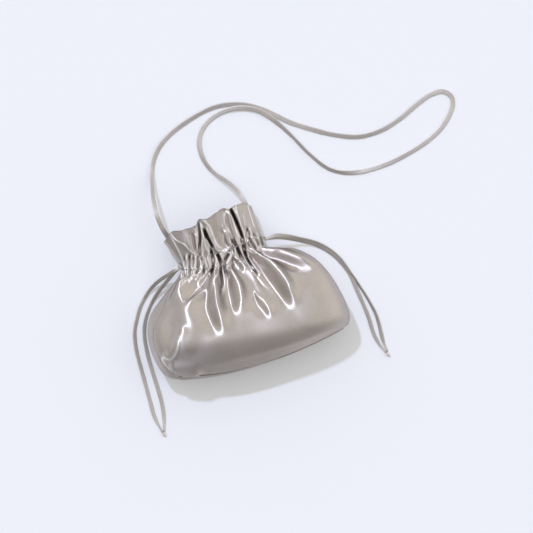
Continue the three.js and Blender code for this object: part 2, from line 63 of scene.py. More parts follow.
class Term:
    """A shader socket or value in an expression: each operator adds its Math node."""

    def __init__(self, tree, socket):
        self.tree = tree
        self.socket = socket

    def node(self, kind, settings=None, sockets=None, out=0):
        """Adds a node with its settings and its sockets' values or links, and gives one of its outputs."""
        made = self.tree.nodes.new(kind)
        for name, value in (settings or {}).items():
            setattr(made, name, value)
        for name, value in (sockets or {}).items():
            if isinstance(value, Term):
                self.tree.links.new(value.socket, made.inputs[name])
            else:
                made.inputs[name].default_value = value
        return Term(self.tree, made.outputs[out] if made.outputs else None)

    def maths(self, operation, *values):
        return self.node("ShaderNodeMath", {"operation": operation}, dict(enumerate(values)))

    def __add__(self, other):
        return self.maths("ADD", self, other)

    def __radd__(self, other):
        return self.maths("ADD", other, self)

    def __rsub__(self, other):
        return self.maths("SUBTRACT", other, self)

    def __mul__(self, other):
        return self.maths("MULTIPLY", self, other)

    def __rmul__(self, other):
        return self.maths("MULTIPLY", other, self)

    def stepped(self, low, high):
        """0 below low, 1 above high and a smooth change between them."""
        sockets = {"Value": self, "From Min": low, "From Max": high}
        return self.node("ShaderNodeMapRange", {"interpolation_type": "SMOOTHSTEP"}, sockets)

    def mixed(self, first, second):
        """The first colour where the term is 0 and the second where it is 1."""
        ends = [end if isinstance(end, Term) else (*end, 1) for end in (first, second)]
        return self.node("ShaderNodeMix", {"data_type": "RGBA"}, dict(zip((0, 6, 7), (self, *ends))), out=2)


def new_tree(holder):
    """An empty node tree for a material or world, as a Term with no socket of its own."""
    holder.use_nodes = True
    holder.node_tree.nodes.clear()
    return Term(holder.node_tree, None)


dome = bpy.data.worlds.new("dome")
bpy.context.scene.world = dome
sky = new_tree(dome)
ray = sky.node("ShaderNodeTexCoord", out=0)


def towards(direction):
    """How far a ray of the dome goes in one direction, from -1 to 1."""
    return sky.node("ShaderNodeVectorMath", {"operation": "DOT_PRODUCT"}, {0: ray, 1: direction}, out=1)


# The dome is brightest overhead, dark beyond the base of the bag and a little brighter again at both sides.
glow = 0.58 + 0.36 * towards((0.20, 0.30, 0.93)).stepped(-0.10, 0.85)
glow = glow * (1.0 - 0.74 * towards((-0.62, -0.785, 0.0)).stepped(-0.12, 0.74))
glow = glow + 0.32 * towards((1.0, 0.0, 0.0)).stepped(0.0, 0.9)
glow = glow + 0.24 * towards((-0.94, 0.34, 0.0)).stepped(0.1, 0.9)
seen = sky.node("ShaderNodeLightPath", out=0)
paper = sky.node("ShaderNodeMix", {"data_type": "FLOAT"}, {0: seen, 2: glow, 3: 0.86})
dome_light = sky.node("ShaderNodeBackground", {}, {"Color": (1.0, 0.99, 0.955, 1.0), "Strength": paper})
sky.node("ShaderNodeOutputWorld", {}, {"Surface": dome_light})

lamp = placed("lamp", bpy.data.lights.new("lamp", "SUN"))
lamp.data.angle = math.radians(3.0)
lamp.data.energy = 1.6
lamp.data.color = (0.70, 0.765, 1.0)
lamp.rotation_euler = Vector((-0.11, 0.72, 1.0)).to_track_quat("Z", "Y").to_euler()

floor_mesh = bpy.data.meshes.new("floor")
floor_reach = 9.0
floor_corners = [(x * floor_reach, y * floor_reach, 0) for x, y in ((-1, -1), (1, -1), (1, 1), (-1, 1))]
floor_mesh.from_pydata(floor_corners, [], [(0, 1, 2, 3)])
floor = placed("floor", floor_mesh)
floor_paint = bpy.data.materials.new("floor_paint")
floor_tree = new_tree(floor_paint)
floor_look = floor_tree.node(
    "ShaderNodeBsdfPrincipled", {}, {
        "Base Color": (0.62, 0.63, 0.665, 1.0),
        "Roughness": 0.9,
        "Emission Color": (0.97, 0.96, 0.945, 1.0),
        "Emission Strength": 0.18,
    }
)
floor_tree.node("ShaderNodeOutputMaterial", {}, {"Surface": floor_look})
floor_mesh.materials.append(floor_paint)

# The strap: one long tape of satin, sewn into a flat tube and turned right side out, with both ends sewn
# inside the frill. It lies loosely on the floor, tilts in places and comes back to lie partly on itself.
strap_route = [
    (-47, 64, 27.2), (-52, 77, 28), (-56.5, 90, 28.8), (-59.5, 104, 33), (-60, 120, 36), (-58.5, 134, 31),
    (-56, 147, 22), (-53, 158, 12.5), (-49, 170, 5), (-44, 181, 1.8), (-38, 190, 1), (-31, 197.5, 1),
    (-20, 205.5, 1), (-6, 212, 1), (12, 217.5, 1), (34, 222, 1), (52, 223.5, 1), (70, 221, 1),
    (90, 213.5, 1), (112, 198, 1), (136, 173.5, 1), (157, 157, 1), (184, 139, 1), (212, 126.5, 1),
    (240, 124.5, 1), (267, 130, 1), (297, 141, 1), (316, 145.5, 1), (330, 144, 1), (338, 134, 1),
    (335.5, 123.5, 1), (320, 107, 1), (301, 96, 1), (264, 86, 1), (223, 82.5, 1), (185, 88, 1),
    (163, 101, 1), (146, 127, 1), (131, 160, 1), (117, 185, 2.2), (103, 201.5, 3.2), (84, 211.5, 3.2),
    (62, 214.5, 2), (42, 210, 1), (28, 200.5, 1), (20, 187, 1), (18, 171, 1), (21, 155, 1.6),
    (28.5, 141, 5), (37, 129.5, 12), (43.5, 118, 19), (47.5, 106, 25), (49, 93, 26.9), (48, 80, 25.8),
    (45.5, 67, 23.6),
]
strap_width = 6.0
strap_thickness = 1.7
tape_step = 1.6
tape_sides = 18
# How far the painted highlight lightens one edge of each tape.
tape_edge_shine = 0.4
floor_gap = 0.12
# Share of the strap's length and how far the tape has rolled there, in degrees.
strap_roll = [
    (0, 0), (0.05, 22), (0.09, 50), (0.13, 32), (0.16, 18), (0.20, 26), (0.25, 18), (0.28, 5), (0.31, 6),
    (0.36, 18), (0.40, 22), (0.47, 10), (0.53, -6), (0.60, -14), (0.65, 4), (0.68, -40), (0.74, -52),
    (0.765, -18), (0.78, -6), (0.80, -14), (0.86, -6), (0.91, 30), (0.96, 20), (1, 0),
]


def smooth_line(points, step):
    """A smooth line through the points in even steps, blended from the straight lines through them."""
    p = np.array(points, float)
    p = np.vstack([2 * p[0] - p[1], p, 2 * p[-1] - p[-2]])
    t = np.concatenate([[0.0], np.cumsum(np.sqrt(np.linalg.norm(np.diff(p, axis=0), axis=1)))])

    def blend(low, high, a, b):
        return ((t[high] - s) * a + (s - t[low]) * b) / (t[high] - t[low])

    places_between = 12
    pieces = []
    for i in range(1, len(p) - 2):
        s = np.linspace(t[i], t[i + 1], places_between, endpoint=False)[:, None]
        lines = [blend(j, j + 1, p[j], p[j + 1]) for j in (i - 1, i, i + 1)]
        curves = [blend(i - 1, i + 1, *lines[:2]), blend(i, i + 2, *lines[1:])]
        pieces.append(blend(i, i + 1, *curves))
    dense = np.vstack([*pieces, p[-2][None]])
    reach = np.concatenate([[0.0], np.cumsum(np.linalg.norm(np.diff(dense, axis=0), axis=1))])
    even = np.linspace(0, reach[-1], max(2, round(reach[-1] / step)) + 1)
    return np.column_stack([np.interp(even, reach, column) for column in dense.T])


def ramp(low, high, value):
    """0 at low, 1 at high and straight between them."""
    return np.clip((value - low) / (high - low), 0, 1)


def eased(low, high, value):
    """0 at low, 1 at high and a smooth change between them."""
    t = ramp(low, high, value)
    return t * t * (3 - 2 * t)


def bell(value, middle, spread):
    """1 in the middle, falling to nothing on both sides."""
    return np.exp(-((value - middle) / spread) ** 2)


def unit(vectors):
    """The vectors with a length of 1."""
    return vectors / np.maximum(np.linalg.norm(vectors, axis=-1, keepdims=True), 1e-12)


def grid_faces(grid):
    """The faces between the neighbours in a grid of point numbers."""
    return np.stack([grid[:-1, :-1], grid[:-1, 1:], grid[1:, 1:], grid[1:, :-1]], axis=-1).reshape(-1, 4)


def cloth_object(name, points, faces, uv, material, marks=None):
    """Turns points in millimetres into an object in metres, smooth, with a map that follows the threads. The
    faces come in blocks, and each mark is one value for every point."""
    mesh = bpy.data.meshes.new(name)
    faces = [face for block in faces for face in np.asarray(block).tolist()]
    mesh.from_pydata((np.asarray(points) * 0.001).tolist(), [], faces)
    thread = mesh.uv_layers.new(name="Thread")
    corners = np.empty(len(mesh.loops), np.int32)
    mesh.loops.foreach_get("vertex_index", corners)
    thread.data.foreach_set("uv", np.asarray(uv, np.float32)[corners].ravel())
    for mark, values in (marks or {}).items():
        made = mesh.attributes.new(mark, "FLOAT", "POINT")
        made.data.foreach_set("value", np.asarray(values, np.float32))
    mesh.shade_smooth()
    mesh.materials.append(material)
    return placed(name, mesh)


def tape_section():
    """A turned tape's section, with 1 for half of its width and height: soft edges and a full middle."""
    edge_power, face_power, edge_thinning = 0.6, 0.5, 0.15
    turn = np.linspace(0, 2 * math.pi, tape_sides, endpoint=False)
    across = np.sign(np.cos(turn)) * np.abs(np.cos(turn)) ** edge_power
    up = np.sign(np.sin(turn)) * np.abs(np.sin(turn)) ** face_power
    return across, up * (1 - edge_thinning * (1 - np.abs(across)))


def tape_object(name, route, width, thickness, roll, material, end_width=1.0, seed=0, width_axis=None):
    """A tape along a route, rolled as the table says and drawn together to end_width at its far end. It lies
    face up, or keeps its width along width_axis where one is given. One edge gets a painted highlight in its
    colour."""
    line = smooth_line(route, tape_step)
    along = unit(np.gradient(line, axis=0))
    share = np.linspace(0, 1, len(line))
    face = np.array([0.0, 0.0, 1.0]) if width_axis is None else np.cross(along, width_axis)
    face = unit(face - along * np.sum(face * along, axis=1, keepdims=True))
    side = np.cross(along, face)
    angle = np.radians(np.interp(share, *zip(*roll)))[:, None]
    face, side = face * np.cos(angle) + side * np.sin(angle), side * np.cos(angle) - face * np.sin(angle)
    across, up = tape_section()
    distance = share * len(line) * tape_step
    pulls = np.random.default_rng(seed).uniform(0, 2 * math.pi, 3)
    wobble = 1
    for amount, length, start in zip((0.03, 0.02), (7, 2.9), pulls):
        wobble = wobble + amount * np.sin(distance / length + start)
    drawn_from, drawn_to = 24, 3
    drawn = 1 - (1 - end_width) * eased(drawn_from, drawn_to, distance[-1] - distance)
    half_width = (width / 2 * wobble * drawn)[:, None, None]
    half_height = thickness / 2
    rings = line[:, None] + side[:, None] * across[None, :, None] * half_width
    rings = rings + face[:, None] * up[None, :, None] * half_height
    lift = np.zeros_like(line)
    lift[:, 2] = np.maximum(floor_gap - rings[..., 2].min(axis=1), 0)
    rings = rings + lift[:, None]
    line = line + lift
    count, sides = rings.shape[:2]
    index = np.pad(np.arange(count * sides).reshape(count, sides), ((0, 0), (0, 1)), mode="wrap")
    first_end, last_end = count * sides, count * sides + 1
    first_cap = [(first_end, b, a) for a, b in zip(index[0, :-1], index[0, 1:])]
    last_cap = [(last_end, a, b) for a, b in zip(index[-1, :-1], index[-1, 1:])]
    points = np.vstack([rings.reshape(-1, 3), line[:1], line[-1:]])
    round_share = np.tile(np.arange(sides) / sides, (count, 1))
    uv = np.column_stack([round_share.ravel() * 2 * width, np.repeat(distance, sides)])
    uv = np.vstack([uv, [0, distance[0]], [0, distance[-1]]]) * 0.001
    # Painted highlight: one edge of the tape is lightened in its colour.
    mottle_and_edge_sheen = np.tile(tape_edge_shine * eased(0.7, 1.0, across), (count, 1))
    marks = {"PaintedCrestHighlight": np.concatenate([mottle_and_edge_sheen.ravel(), [0, 0]])}
    made = cloth_object(name, points, [grid_faces(index), first_cap, last_cap], uv, material, marks)
    return made, line * 0.001


# The colours of the painted shade in folds and of the painted highlight on crests and tape edges.
painted_groove_shade_colour = (0.065, 0.052, 0.044)
painted_crest_highlight_colour = (0.97, 0.94, 0.91)


def satin(name, colour, shade, roughness, spread, turn, slub):
    """Metallic satin: long floats of thread across the cloth spread its shine along the other way. Painted
    shade darkens its colour where a piece's fold mark says, and a painted highlight lightens it where its
    crest mark says."""
    material = bpy.data.materials.new(name)
    tree = new_tree(material)

    def noise(place, scale, detail):
        return tree.node("ShaderNodeTexNoise", {}, {"Vector": place, "Scale": scale, "Detail": detail})

    threads = tree.node("ShaderNodeUVMap", {"uv_map": "Thread"})
    long_floats = tree.node("ShaderNodeMapping", {}, {"Vector": threads, "Scale": (160.0, 2600.0, 1.0)})
    combed = tree.node("ShaderNodeMapping", {}, {"Vector": threads, "Scale": (220.0, 620.0, 1.0)})
    place = tree.node("ShaderNodeTexCoord", out=3)
    floats = noise(long_floats, 1.0, 2.0)
    flecks = noise(combed, 1.0, 3.0)
    clouds = noise(place, 28.0, 3.0)
    # Random mottle in the cloth's own tone and roughness.
    mottle_and_edge_sheen = clouds.stepped(0.35, 0.65) * 0.4 + flecks.stepped(0.30, 0.70) * 0.6
    # Two marks on the cloth carry the painted shade in folds and the painted highlight on crests and edges.
    fold = tree.node("ShaderNodeAttribute", {"attribute_name": "PaintedFoldShade"}, out=2)
    painted_crest_highlight = tree.node("ShaderNodeAttribute", {"attribute_name": "PaintedCrestHighlight"}, out=2)
    tone = (mottle_and_edge_sheen * 0.6 + floats * 0.4).mixed(colour, shade)
    tone = painted_crest_highlight.mixed(fold.mixed(tone, painted_groove_shade_colour), painted_crest_highlight_colour)
    threadwork = floats * 0.5 + flecks * 1.6
    weave = tree.node("ShaderNodeBump", {}, {"Strength": slub, "Distance": 0.00004, "Height": threadwork})
    warp = tree.node("ShaderNodeTangent", {"direction_type": "UV_MAP", "uv_map": "Thread"})
    surface = tree.node(
        "ShaderNodeBsdfPrincipled", {}, {
            "Base Color": tone,
            "Metallic": 1.0,
            "Roughness": roughness + 0.05 * mottle_and_edge_sheen,
            "Anisotropic": spread,
            "Anisotropic Rotation": turn,
            "Normal": weave,
            "Tangent": warp,
        },
    )
    tree.node("ShaderNodeOutputMaterial", {}, {"Surface": surface})
    return material


tape_satin = satin("tape_satin", (0.59, 0.55, 0.52), (0.50, 0.465, 0.44), 0.56, 0.5, 0.0, 0.5)
strap, strap_line = tape_object(
    "strap_tape", strap_route, strap_width, strap_thickness, strap_roll, tape_satin
)
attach(strap, "root")
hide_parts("strap")

# The drawstrings: two narrower tapes of the same satin. Each comes out of the casing at one side as a pair
# of strands, which fall to the floor beside the pouch and end in a small knot.
cord_width = 5.0
cord_thickness = 1.7
strand_routes = {
    "left_drawstring_outer": [
        (-56.4, 49.3, 23.6), (-63, 48.2, 23.2), (-70, 46.2, 20.6), (-80, 44, 15.2), (-90, 41, 9.6),
        (-101, 35.5, 4.4), (-112, 27, 1.5), (-121, 18, 1), (-130, 5, 1), (-136.5, -6, 1), (-140.5, -18, 1),
        (-143.5, -34, 1), (-145, -50, 1), (-146.5, -70, 1), (-148.5, -95, 1), (-150, -117, 1),
        (-147.2, -137.6, 1.8),
    ],
    "left_drawstring_inner": [
        (-56.9, 49.3, 21.3), (-63, 46.6, 20.6), (-70, 42.4, 17.4), (-80, 36.8, 11.8), (-91, 30, 6.4),
        (-102, 21.5, 2.4), (-112, 11.5, 1), (-121, -1, 1), (-127.5, -17, 1), (-131, -36, 1), (-133, -58, 1),
        (-134, -82, 1), (-135.5, -102, 1), (-139, -120, 1), (-145.0, -137.6, 1.8),
    ],
    "right_drawstring_outer": [
        (56.4, 46.6, 22.6), (63, 46.6, 23.4), (71.4, 45.6, 23.2), (84, 40.2, 20), (93.9, 34.4, 15.4),
        (102.7, 28.9, 11.2), (111.4, 23.3, 7.6), (119.7, 16.2, 5), (127.2, 7.5, 3.6), (133.2, -1.8, 3.1),
        (137.6, -11.3, 3), (140.7, -20.6, 3), (143, -30.3, 2.9), (145.7, -39, 2.2), (148.2, -49.7, 1.2),
        (151, -61.5, 1), (153.5, -75.4, 1), (155.2, -88.9, 1), (154.9, -100.8, 1), (153.4, -114, 1),
        (152.3, -126.7, 1), (152.9, -139.2, 1.8),
    ],
    "right_drawstring_inner": [
        (56.8, 46.6, 20.3), (63, 45.2, 20.6), (70.2, 43.4, 19.8), (82.6, 37.8, 16.2), (92.4, 31.9, 11.8),
        (101, 26.4, 7.8), (109.5, 20.9, 4.4), (117.4, 14, 2.2), (124.9, 5.8, 1.2), (130.9, -2.8, 1),
        (135.6, -12, 1), (139, -21.2, 1), (141.6, -30.8, 1), (142.7, -40.7, 1), (143.3, -52, 1),
        (144.2, -64.3, 1), (145, -77.9, 1), (145.3, -92.7, 1), (144.5, -105.7, 1), (144.9, -118.3, 1),
        (147.2, -129.8, 1), (150.9, -139.3, 1.8),
    ],
}
strand_roll = {
    "left_drawstring_outer": [(0, 0), (0.2, -20), (0.45, -24), (0.7, -12), (1, 0)],
    "left_drawstring_inner": [(0, 0), (0.25, -30), (0.5, -14), (0.8, 14), (1, 0)],
    "right_drawstring_outer": [(0, 0), (0.1, 10), (0.2, 46), (0.45, 36), (0.62, 58), (0.8, 44), (1, 0)],
    "right_drawstring_inner": [(0, 0), (0.1, 20), (0.2, 50), (0.42, 30), (0.6, 8), (0.8, 20), (1, 0)],
}
knots = {
    "left_knot": ((-146, -140.6, 2.6), 6, "left_drawstring"),
    "right_knot": ((152.3, -142.2, 2.6), 20, "right_drawstring"),
}
knot_reach = (0.62, 0.84, 0.80)
knot_cord_radius = 0.85
knot_flatness = 0.2


def knot_object(name, place, heading, material):
    """An overhand knot pulled tight: one cord wound through itself, flattened and turned to its heading."""
    turn = np.linspace(0, 2 * math.pi, 72, endpoint=False)
    loop = np.column_stack([
        np.sin(turn) + 2 * np.sin(2 * turn), np.cos(turn) - 2 * np.cos(2 * turn), -np.sin(3 * turn),
    ]) * knot_reach
    along = unit(np.roll(loop, -1, axis=0) - np.roll(loop, 1, axis=0))
    out = unit(loop * [1, 1, knot_flatness])
    out = unit(out - along * np.sum(out * along, axis=1, keepdims=True))
    side = np.cross(along, out)
    sides = 12
    ring = np.linspace(0, 2 * math.pi, sides, endpoint=False)
    around = out[:, None] * np.cos(ring)[None, :, None] + side[:, None] * np.sin(ring)[None, :, None]
    tube = loop[:, None] + knot_cord_radius * around
    c, s = math.cos(math.radians(heading)), math.sin(math.radians(heading))
    spin = np.array([[c, -s, 0], [s, c, 0], [0, 0, 1]])
    points = tube.reshape(-1, 3) @ spin.T + np.array(place)
    index = np.pad(np.arange(len(loop) * sides).reshape(len(loop), sides), (0, 1), mode="wrap")
    uv = np.column_stack([np.tile(ring, len(loop)), np.repeat(turn * 3, sides)]) * 0.001
    return cloth_object(name, points, [grid_faces(index)[:, [0, 3, 2, 1]]], uv, material)


# The knot's satin is painted paler than the tapes' to offset the shade inside the tight knot.
knot_satin_painted_paler = satin("knot_satin_painted_paler", (0.82, 0.77, 0.72), (0.70, 0.65, 0.60), 0.6, 0.3, 0.0, 0.5)
knot_pieces = {}
for name, (place, heading, string) in knots.items():
    knot_pieces[string] = knot_object(name + "_tied", place, heading, knot_satin_painted_paler)
    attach(knot_pieces[string], "root")
    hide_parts(name)
for seed, (name, route) in enumerate(strand_routes.items(), 1):
    strand, line = tape_object(
        name + "_tape", route, cord_width, cord_thickness, strand_roll[name], tape_satin, 0.5, seed
    )
    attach(strand, "root")
    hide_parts(name)

# The front panel: the upper cloth of the pouch, from the base seam through the gathered neck to the folded
# rim of the frill. Long folds fan out from the gathers over its swelling front.
body_width = 249.4
body_length = 130.5
body_depth = 76.0
neck_width = 110.0
neck_depth = 37.0
neck_rest = 2.5
floor_press = 8.0
casing_height = 18.0
collar_height = 46.0
base_seam_y = -98.5
body_wall = 1.2
collar_wall = 2.0
gather_depth = 4.0
lower_stitch = 9
upper_stitch = 10
rim = 12
section_columns = (
    "middle", "left_end", "right_end", "left", "right", "rise", "lie", "belly", "square", "seam", "lean",
    "skew",
)
body_rows = [
    (0, 0.124, 0.050, 0.7, 0.8, 0.2, -0.5, 0.42, 3, 23, 0.083, 0),
    (0.058, 0.163, 0.077, 0.84, 0.92, 0.48, 0.15, 0.44, 3, 22, 0.073, 0.02),
    (0.129, 0.236, 0.149, 0.945, 0.985, 0.77, 0.7, 0.45, 3, 23, 0.044, 0.06),
    (0.280, 0.355, 0.253, 0.992, 1, 1, 1, 0.45, 3, 23, 0.015, 0.1),
    (0.430, 0.502, 0.395, 1, 0.98, 0.91, 1, 0.43, 3, 23, 0, 0.06),
    (0.602, 0.678, 0.586, 0.935, 0.905, 0.68, 1, 0.4, 2.8, 27, 0, 0),
    (0.778, 0.816, 0.778, 0.76, 0.745, 0.38, 0.8, 0.36, 2.4, 34, 0, 0),
    (0.893, 0.923, 0.927, 0.475, 0.475, 0.16, 0.45, 0.32, 2.4, 25, 0, 0),
    (0.956, 1.016, 0.985, 0.19, 0.215, 0.05, 0.15, 0.29, 2.4, 11, 0, 0),
    (1, 1.102, 1.044, 0, 0, 0, 0, 0.275, 2.4, 3, 0, 0),
]
collar_columns = ("up", "left_end", "right_end", "left", "right", "top", "bottom", "square", "seam")
collar_rows = [
    (0, 0.190, 0.080, 1.02, 0.99, 1, 0, 2.4, 3),
    (0.480, 0.500, 0.490, 1.09, 1, 1.12, -0.02, 2.5, 4),
    (0.990, 0.780, 0.910, 1.156, 1, 1.22, -0.05, 2.6, 4),
]


def real_sections():
    """The two tables as one set of real sizes, a column for each."""
    body = dict(zip(section_columns, np.array(body_rows, float).T))
    collar = dict(zip(collar_columns, np.array(collar_rows, float).T))
    half, swell = neck_width / 2, (body_width - neck_width) / 2
    neck_top, neck_y = neck_rest + neck_depth, base_seam_y + body_length + casing_height
    parts = {
        "left": (half + body["left"] * swell, half * collar["left"]),
        "right": (half + body["right"] * swell, half * collar["right"]),
        "top": (neck_top + body["rise"] * (body_depth - neck_top), neck_rest + neck_depth * collar["top"]),
        "bottom": (
            neck_rest - body["lie"] * (neck_rest + floor_press), neck_rest + neck_depth * collar["bottom"]
        ),
        "widest": (
            body["belly"] * body_depth, neck_rest + neck_depth * 0.5 * (collar["top"] + collar["bottom"])
        ),
        "square": (body["square"], collar["square"]),
        "seam": (body["seam"], collar["seam"]),
        "lean": (body["lean"] * body_length, collar["up"] * 0),
        "skew": (body["skew"] * body_length, collar["up"] * 0),
        "wall": (body["seam"] * 0 + body_wall, np.array([body_wall, collar_wall, collar_wall])),
    }
    for name, above in (("middle", "up"), ("left_end", "left_end"), ("right_end", "right_end")):
        parts[name] = (base_seam_y + body[name] * body_length, neck_y + collar[above] * collar_height)
    return {name: np.concatenate(both) for name, both in parts.items()}


sections = real_sections()


def section_value(name, station):
    """One value of the sections at any station, on a smooth curve through the rows."""
    values = sections[name]
    first = np.clip(np.floor(station), 0, rim - 1).astype(int)
    t = station - first
    a, b, c, d = (values[np.clip(first + step, 0, rim)] for step in (-1, 0, 1, 2))
    return b + 0.5 * t * (c - a + t * (2 * a - 5 * b + 4 * c - d + t * (3 * (b - c) + d - a)))


def smooth_point(angle, station, inset=0.0):
    """A point of the smooth pouch: angle 0 is its right side, a quarter turn its top."""
    c, s = np.cos(angle), np.sin(angle)
    at = {name: section_value(name, station) for name in sections}
    power = 2 / at["square"]
    across = np.sign(c) * np.abs(c) ** power
    up = np.sign(s) * np.abs(s) ** power
    x = across * (np.where(c < 0, at["left"], at["right"]) - inset)
    rise = at["top"] - at["widest"] - inset
    fall = at["widest"] - at["bottom"] - inset
    z = at["widest"] + up * np.where(up > 0, rise, fall)
    lean = at["lean"] * np.where(across < 0, across ** 4, 0)
    over = np.clip(up, 0, 1) * (lean - at["skew"] * across)
    y = at["middle"] + (at["right_end"] - at["left_end"]) / 2 * across
    y = y + ((at["right_end"] + at["left_end"]) / 2 - at["middle"]) * across * across + over
    return np.stack([x, y, z], axis=-1)


small_step = 0.004


def outward(angle, station, inset=0.0):
    """Which way the cloth faces there."""
    left, right = angle + small_step, angle - small_step
    around = smooth_point(left, station, inset) - smooth_point(right, station, inset)
    ahead = smooth_point(angle, np.minimum(station + small_step, rim), inset)
    along = ahead - smooth_point(angle, np.maximum(station - small_step, 0), inset)
    return unit(np.cross(along, around))


# Each fold follows a line, in millimetres. Its wall rises by twice its height, from a valley on the right of
# the line to a crest on the left as one goes along it. Its depth sinks the line itself, and a negative one
# raises it. It starts as narrow as its neck says and fades out over its last part. The two widest rows tilt
# the whole front a little.
crease_columns = ("width", "neck", "height", "depth", "fade", "line")
front_creases = [
    (14, 0.5, 0, -4, 0.85, [(-52, 36), (-63, 22), (-66, 5), (-68, -25), (-78.5, -40), (-95, -53)]),
    (5, 0.5, 2.8, 0, 0.5, [(-52, 35), (-68, 24), (-82, 14), (-91, 7)]),
    (8.2, 0.6, 0.9, 0, 0.5, [(-60, 28), (-74, 0), (-87, -22), (-101, -45)]),
    (5.5, 0.5, 3.8, 0, 0.8, [(-22, 31), (-36, 17), (-50, 8), (-65, 1)]),
    (8.4, 0.35, 5, 0, 0.7, [(-15, 36), (-27, 12), (-34.5, -14), (-34, -48)]),
    (8.8, 0.35, 4.6, 0, 0.72, [(2, 32), (-1, 10), (-4, -12), (-8, -31)]),
    (4, 0.6, 3.2, 0, 0.5, [(13, 36), (16, 26), (19, 17)]),
    (5, 0.3, 2, 0, 0.7, [(20, -11), (24.5, -26), (31, -47)]),
    (8.8, 0.35, 5.6, 0, 0.7, [(33, 40), (44, 20), (54, -8), (62, -45)]),
    (5.4, 0.5, 4.6, 0, 0.7, [(43, 36), (68, 20), (88, 4), (105, -8)]),
    (1.2, 1, 0.6, 4.6, 0.9, [(30.5, 98), (32, 81), (32, 66), (31, 54), (31, 46)]),
    (2.4, 1, 1.6, 1, 0.9, [(-13, 101), (-11, 90), (-10, 80), (-9, 70)]),
    (1.2, 1, 0.6, 4.6, 0.9, [(-11, 84), (-10, 73), (-8, 60), (-7, 48)]),
    (1.4, 1, 0.7, 3.2, 0.8, [(-14, 97), (-18, 79), (-24, 63), (-26, 53), (-25, 44), (-29, 33), (-35, 25)]),
    (5, 1, 0.5, 0, 0.8, [(-54, 92), (-49, 80), (-40, 69), (-32, 57)]),
    (1.8, 1, 0.8, 1.8, 0.8, [(-26, 85), (-29, 65), (-29, 55)]),
    (2.6, 1, 2, 0.4, 0.7, [(24, 94), (21, 79), (20, 63), (20, 50)]),
    (2.4, 1, 1.7, 0.4, 0.7, [(12, 73), (10, 62), (11, 51)]),
    (2, 1, 0.4, 0.7, 0.6, [(17, 102), (13, 84), (12, 74)]),
    (1.3, 1, 0.7, 3.4, 0.8, [(41, 67), (40, 60), (39, 51), (41, 43), (43, 34)]),
    (1.3, 1, 0.3, 0.7, 0.6, [(42, 87), (40, 75), (38, 65)]),
    (1.6, 1, 0.4, 0.9, 0.6, [(53, 91), (51, 71), (50, 58)]),
    (1.3, 1, 0.7, 3, 0.8, [(53, 51), (53, 43), (53, 35)]),
    (1.3, 1, 0.7, 2.4, 0.8, [(-52, 55), (-52, 43), (-55, 34), (-64, 24)]),
    (1.4, 1, 0.7, 2.4, 0.6, [(-46, 61), (-47, 51), (-50, 38), (-58, 24)]),
    (1.4, 1, 0.7, 3.2, 0.6, [(-38, 61), (-42, 49), (-45, 38), (-53, 24)]),
    (1.2, 1, 0.7, 2.4, 0.6, [(-34, 58), (-38, 47), (-42, 38), (-47, 28)]),
    (1.2, 1, 0.7, 2.4, 0.6, [(-28, 57), (-31, 47), (-35, 38), (-43, 26)]),
    (1.4, 1, 0.8, 3.8, 0.7, [(-10, 60), (-12, 48), (-14, 40), (-18, 32), (-25, 23)]),
    (1.6, 1, 0.8, 4.2, 0.5, [(-6, 56), (-5, 46), (-5, 37), (-9, 26), (-13, 12), (-21, -7)]),
    (1.5, 1, 0.8, 4.6, 0.7, [(14, 48), (5, 42), (-1, 36), (-3, 29), (-4, 18)]),
    (1.3, 1, 0.7, 3, 0.8, [(16, 53), (13, 42), (10, 32)]),
    (1.4, 1, 0.8, 3.4, 0.6, [(20, 63), (20, 53), (21, 44), (22, 35), (25, 22), (28, 12)]),
    (1.5, 1, 0.8, 4.6, 0.7, [(28, 58), (29, 46), (28, 37), (29, 25), (32, 15), (35, 5)]),
    (1.4, 1, 0.7, 1.8, 0.8, [(-16, 59), (-21, 49), (-22, 39), (-28, 30)]),
    (1.2, 1, 0.7, 2, 0.8, [(36, 58), (35, 48), (36, 40)]),
    (1.2, 1, 0.7, 2, 0.8, [(47, 58), (47, 47), (49, 38)]),
    (3.2, 0.5, -0.7, 0.8, 0.4, [(28, 14), (34, -10), (41, -38)]),
    (3.2, 0.6, -0.6, 0.7, 0.4, [(68, 3), (82, -6), (97, -15)]),
    (5, 0.6, 1.6, 0, 0.5, [(-56, 36), (-72, 24), (-93, 9)]),
    (6.5, 1, 0, -3, 0.95, [(-75, -22), (-83, -33), (-92, -42), (-102, -50), (-111, -47)]),
    (9, 1, 0, -4.2, 0.7, [(-110, -62), (-94, -74), (-72, -88)]),
    (45, 1, -3.2, 0, 0.6, [(-8, 50), (-10, 0), (-13, -96)]),
    (24, 1, -1.2, 0, 0.6, [(44, -22), (46, -60), (48, -96)]),
]
